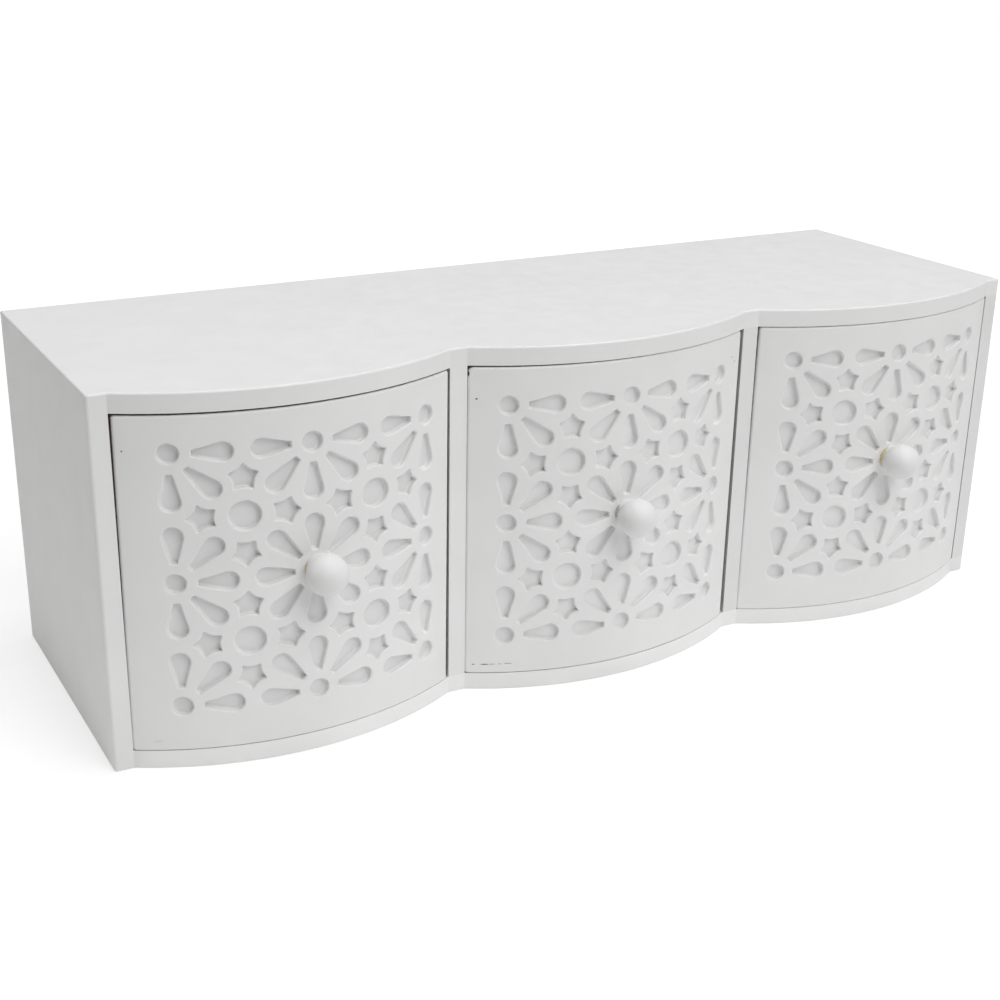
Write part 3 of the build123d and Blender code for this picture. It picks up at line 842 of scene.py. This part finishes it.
by_slot = {"painted_board": case_paint, "thin_board": thin_board, "steel": steel}
by_piece = {
    "top_panel": top_paint,
    "bottom_panel": bottom_paint,
    # painted shade on the right divider and right end panel
    "right_divider": shaded_paint,
    "right_end_panel": shaded_paint,
}
for side in DRAWER_CENTRES:
    bare_shaded_edges = partial(behind_edges, side=side)
    level = RECESS_SHADED_WHITES[side]
    recess_paint = paint(f"{side}_recess_paint", grey(level), grey(level - RECESS_SPREAD),
                         bare_and_shade=bare_shaded_edges)
    front_paint = paint(f"{side}_front_paint", WHITE, GREY_WHITE, bare_and_shade=bare_shaded_edges,
                        chips_and_shade=CHIPS[side])
    (off, half), wood_and_shade = BARE_AND_SHADED_NECKS[side]
    across, up = np.add(FRET_SHIFTS[side], KNOB_SHIFTS[side])
    foot = (DRAWER_CENTRES[side] + across, LAND_Y - BOW_RISE, DRAWER_MIDDLE_Z + up)
    bare_shaded_neck = tuple(float(v) for v in np.add(foot, off))
    # its spot is bare wood and painted shade at the neck's left, under the ball
    knob_paint = paint(f"{side}_knob_paint", KNOB_WHITE, KNOB_GREY, DULL_SATIN,
                       chips_and_shade=[(bare_shaded_neck, half)], chip_and_shade_colour=wood_and_shade)
    by_piece[f"{side}_drawer_front_sheet"] = recess_paint
    by_piece[f"{side}_drawer_knob"] = knob_paint
    for board in ("left_side", "right_side", "back"):
        by_piece[f"{side}_drawer_{board}"] = box_paint
    fretwork(side, front_paint)
    front_sheet(side, recess_paint)
    ball_knob(side, knob_paint)

for part in frame["record"]["subparts"]:
    node = frame["nodes"][part["node"]]
    node.data.materials.clear()
    node.data.materials.append(by_piece.get(part["node"]) or by_slot[part["material_slot"]])


# Floor, light and camera, in metres
FLOOR_RADIUS = 12
FLOOR_POINTS = 64
SHEET_MIDDLE = (0.05, -0.12, 0.0)  # of the white sheet that the organizer stands on
SHEET_EDGE = (0.34, 0.72)  # how far out it goes over into the floor
SHEET_WAVER = 0.05
SHEET_LEVEL, FLOOR_LEVEL, SHOWN_LEVEL = 0.93, 0.3, 0.4
GLOW_REACH = (0.45, 1.0)  # how far out the floor's glow begins and ceases to grow
GLOW_LEVELS = (0.68, 0.95)
AMBIENT_COLOUR, AMBIENT_STRENGTH = (1, 1, 0.98, 1), 0.15
ORGANIZER_MIDDLE, FRONT_AIM = (0, 0, 0.07), (0.05, 0, 0.05)  # what the lamps are aimed at
SMALL_BOX, LARGE_BOX = (0.8, 0.8), (1.2, 1.4)  # sizes of the lamps
CAMERA_LENS, CAMERA_SENSOR = 55.95, 36  # millimetres
CAMERA_PLACE = (-0.31474, -0.54058, 0.28540)
CAMERA_RIGHT = Vector((0.87617, -0.48173, 0.01647))
CAMERA_DOWN = Vector((-0.15796, -0.31926, -0.93441))
CAMERA_AHEAD = Vector((0.45539, 0.8161, -0.35582))


def floor():
    """A white sheet on a darker floor, shown white to the camera and keeping a soft shadow."""
    mesh = bpy.data.meshes.new("floor")
    turn = np.linspace(0, 2 * math.pi, FLOOR_POINTS, endpoint=False)
    ring = [(FLOOR_RADIUS * math.cos(t), FLOOR_RADIUS * math.sin(t), 0) for t in turn]
    mesh.from_pydata(ring, [], [list(range(len(ring)))])
    piece = bpy.data.objects.new("floor", mesh)
    bpy.context.scene.collection.objects.link(piece)
    material, tree, mix = material_nodes("floor_white", "ShaderNodeMixShader")
    plain = tree.nodes.new("ShaderNodeBsdfDiffuse")
    place = tree.nodes.new("ShaderNodeTexCoord").outputs["Object"]
    from_sheet = on_vectors(tree, "SUBTRACT", place, SHEET_MIDDLE)
    from_middle = on_vectors(tree, "LENGTH", from_sheet, None)
    unevenness = noise(tree, place, *FLOOR_SHEET)
    ragged = arithmetic(tree, "MULTIPLY_ADD", unevenness, SHEET_WAVER, from_middle)
    levels = map(grey, (SHEET_LEVEL, FLOOR_LEVEL))
    sheet = ramp(tree, ragged, zip(SHEET_EDGE, levels))
    tree.links.new(sheet, plain.inputs["Color"])
    shown = tree.nodes.new("ShaderNodeBsdfDiffuse")
    shown.inputs["Color"].default_value = (*grey(SHOWN_LEVEL), 1)
    glow = tree.nodes.new("ShaderNodeEmission")
    glow.inputs["Strength"].default_value = 1.0
    brightness = ramp(tree, from_middle, zip(GLOW_REACH, map(grey, GLOW_LEVELS)))
    tree.links.new(brightness, glow.inputs["Color"])
    both = tree.nodes.new("ShaderNodeAddShader")
    tree.links.new(shown.outputs[0], both.inputs[0])
    tree.links.new(glow.outputs[0], both.inputs[1])
    rays = tree.nodes.new("ShaderNodeLightPath").outputs
    seen = arithmetic(tree, "MAXIMUM", rays["Is Camera Ray"], rays["Is Glossy Ray"])
    seen = arithmetic(tree, "MAXIMUM", seen, rays["Is Transmission Ray"])
    tree.links.new(seen, mix.inputs["Fac"])
    tree.links.new(plain.outputs[0], mix.inputs[1])
    tree.links.new(both.outputs[0], mix.inputs[2])
    mesh.materials.append(material)


def soft_box(name, place, aim, size, power, colour=(1, 1, 1)):
    """A rectangular soft light aimed at a point, its power in watts."""
    data = bpy.data.lights.new(name, "AREA")
    data.shape = "RECTANGLE"
    data.size, data.size_y = size
    data.energy = power
    data.color = colour
    lamp = bpy.data.objects.new(name, data)
    bpy.context.scene.collection.objects.link(lamp)
    lamp.location = place
    lamp.rotation_euler = (Vector(aim) - Vector(place)).to_track_quat("-Z", "Y").to_euler()


def studio_world():
    """A faint even light from all sides, white to the camera."""
    world = bpy.data.worlds.new("studio")
    bpy.context.scene.world = world
    world.use_nodes = True
    tree = world.node_tree
    tree.nodes.clear()
    output = tree.nodes.new("ShaderNodeOutputWorld")
    ambient = tree.nodes.new("ShaderNodeBackground")
    ambient.inputs["Color"].default_value = AMBIENT_COLOUR
    ambient.inputs["Strength"].default_value = AMBIENT_STRENGTH
    white = tree.nodes.new("ShaderNodeBackground")
    white.inputs["Color"].default_value = (1, 1, 1, 1)
    white.inputs["Strength"].default_value = 1.0
    path = tree.nodes.new("ShaderNodeLightPath")
    mix = tree.nodes.new("ShaderNodeMixShader")
    tree.links.new(path.outputs["Is Camera Ray"], mix.inputs["Fac"])
    tree.links.new(ambient.outputs[0], mix.inputs[1])
    tree.links.new(white.outputs[0], mix.inputs[2])
    tree.links.new(mix.outputs[0], output.inputs["Surface"])


def photo_camera():
    """The camera at the photograph's place."""
    data = bpy.data.cameras.new("camera")
    data.sensor_width = CAMERA_SENSOR
    data.sensor_fit = "HORIZONTAL"
    data.lens = CAMERA_LENS
    camera = bpy.data.objects.new("camera", data)
    bpy.context.scene.collection.objects.link(camera)
    turned = Matrix((CAMERA_RIGHT, -CAMERA_DOWN, -CAMERA_AHEAD)).transposed().to_4x4()
    camera.matrix_world = Matrix.Translation(CAMERA_PLACE) @ turned
    bpy.context.scene.camera = camera


floor()
soft_box("top_light", (0.2, 0, 2.07), ORGANIZER_MIDDLE, SMALL_BOX, 14.4, (0.96, 0.96, 1.0))
soft_box("front_light", (0.3, -1.33, 1.53), FRONT_AIM, LARGE_BOX, 20.6, (1.0, 1.0, 0.995))
soft_box("right_light", (0.866, -0.5, 1.80), ORGANIZER_MIDDLE, SMALL_BOX, 3.5)
soft_box("left_light", (-1.785, 0.315, 0.915), ORGANIZER_MIDDLE, SMALL_BOX, 5.6, (1.0, 1.0, 0.975))
soft_box("back_light", (0.1, 1.41, 1.48), ORGANIZER_MIDDLE, SMALL_BOX, 3.0)
studio_world()
photo_camera()
bpy.context.scene.view_settings.view_transform = "Standard"
